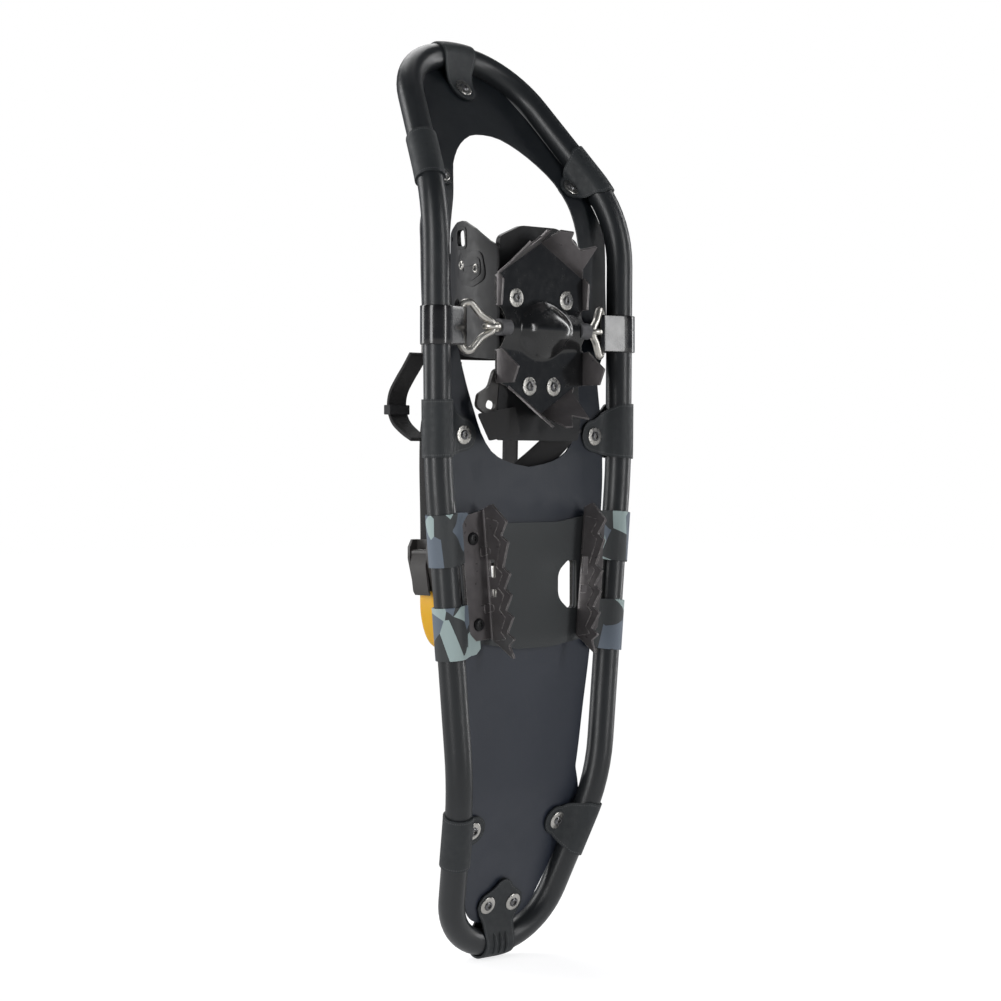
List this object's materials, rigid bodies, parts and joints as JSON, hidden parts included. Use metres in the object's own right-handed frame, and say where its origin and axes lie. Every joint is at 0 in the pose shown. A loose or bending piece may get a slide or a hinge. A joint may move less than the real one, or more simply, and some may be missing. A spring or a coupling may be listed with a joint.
{
  "type": "snowshoe",
  "caption": "Aluminium-framed snowshoe with a screwed deck, a pivoting toe binding and crampon, heel crampons and a wire heel lift.",
  "frame": {"origin": "under the middle of the bounding box, at the tail's lowest point, with the shoe standing on its tail", "axes": "+Z from tail to nose, +X across the shoe to its right seen from the crampon side, +Y towards the boot side"},
  "size_m": [0.2348, 0.1562, 0.7706],
  "materials": {
    "frame_coat": "matte powder coat",
    "bare_tube": "mill",
    "deck_sheet": "coated woven sheet",
    "clip_rubber": "grained",
    "panel_sheet": "coated, two-tone print on the straps",
    "steel_bright": "zinc plated",
    "ring_steel": "polished nickel",
    "strap_gloss": "gloss",
    "bushing": "moulded",
    "crampon_coat": "gloss coat",
    "crampon_heel": "dark coat",
    "binding_shell": "moulded",
    "pad_foam": "soft",
    "webbing": "woven",
    "buckle": "satin",
    "heel_band": "satin",
    "grip": "ribbed"
  },
  "bodies": {
    "frame": {"frame_tube": "frame_coat", "frame_splice": "bare_tube", "deck": "deck_sheet", "heel_panel": "panel_sheet", "nose_clip": "clip_rubber", "upper_clip_left": "clip_rubber", "upper_clip_right": "clip_rubber", "mid_clip_left": "clip_rubber", "mid_clip_right": "clip_rubber", "lower_clip_left": "clip_rubber", "lower_clip_right": "clip_rubber", "tail_clip": "clip_rubber", "clip_screws": "steel_bright", "clip_washers": "steel_bright", "clip_nuts": "steel_bright", "toe_strap_left": "strap_gloss", "toe_strap_right": "strap_gloss", "toe_ring_left": "ring_steel", "toe_ring_right": "ring_steel", "toe_axle": "ring_steel", "heel_crampon_left": "crampon_heel", "heel_crampon_right": "crampon_heel", "heel_crampon_screws": "steel_bright", "heel_crampon_nuts": "steel_bright", "heel_plate": "binding_shell", "bail_bracket_left": "buckle", "bail_bracket_right": "buckle"},
    "binding": {"toe_bushing_left": "bushing", "toe_bushing_right": "bushing", "toe_crampon": "crampon_coat", "crampon_screws": "steel_bright", "crampon_washers": "steel_bright", "crampon_nuts": "steel_bright", "footbed": "binding_shell", "wing_left": "binding_shell", "wing_right": "binding_shell", "wing_rivets": "steel_bright", "instep_pad": "pad_foam", "instep_strap": "webbing", "instep_buckle_body": "buckle", "instep_buckle_pin": "steel_bright", "instep_tail": "webbing", "strap_keeper": "grip", "grip_patch": "grip", "heel_webbing_left": "webbing", "heel_webbing_right": "webbing", "heel_strap": "heel_band", "heel_buckle_body": "buckle", "heel_buckle_pin": "steel_bright"},
    "heel_lift": {"heel_lift_bail": "ring_steel"},
    "instep_lever": {"instep_buckle_lever": "buckle"},
    "heel_lever": {"heel_buckle_lever": "buckle"}
  },
  "joints": [
    {"name": "toe_pivot", "type": "hinge", "parent": "frame", "child": "binding", "pos_m": [0, -0.04803, 0.522], "axis": [1, 0, 0], "range_deg": [0, 65]},
    {"name": "heel_lift_hinge", "type": "hinge", "parent": "frame", "child": "heel_lift", "pos_m": [0, -0.02373, 0.338], "axis": [1, 0, 0], "range_deg": [0, 95]},
    {"name": "instep_lever_hinge", "type": "hinge", "parent": "binding", "child": "instep_lever", "pos_m": [-0.03972, 0.04815, 0.512], "axis": [0, 0, -1], "range_deg": [0, 80]},
    {"name": "heel_lever_hinge", "type": "hinge", "parent": "binding", "child": "heel_lever", "pos_m": [-0.0538, 0.04147, 0.3382], "axis": [0, 1, 0], "range_deg": [0, 80]}
  ]
}
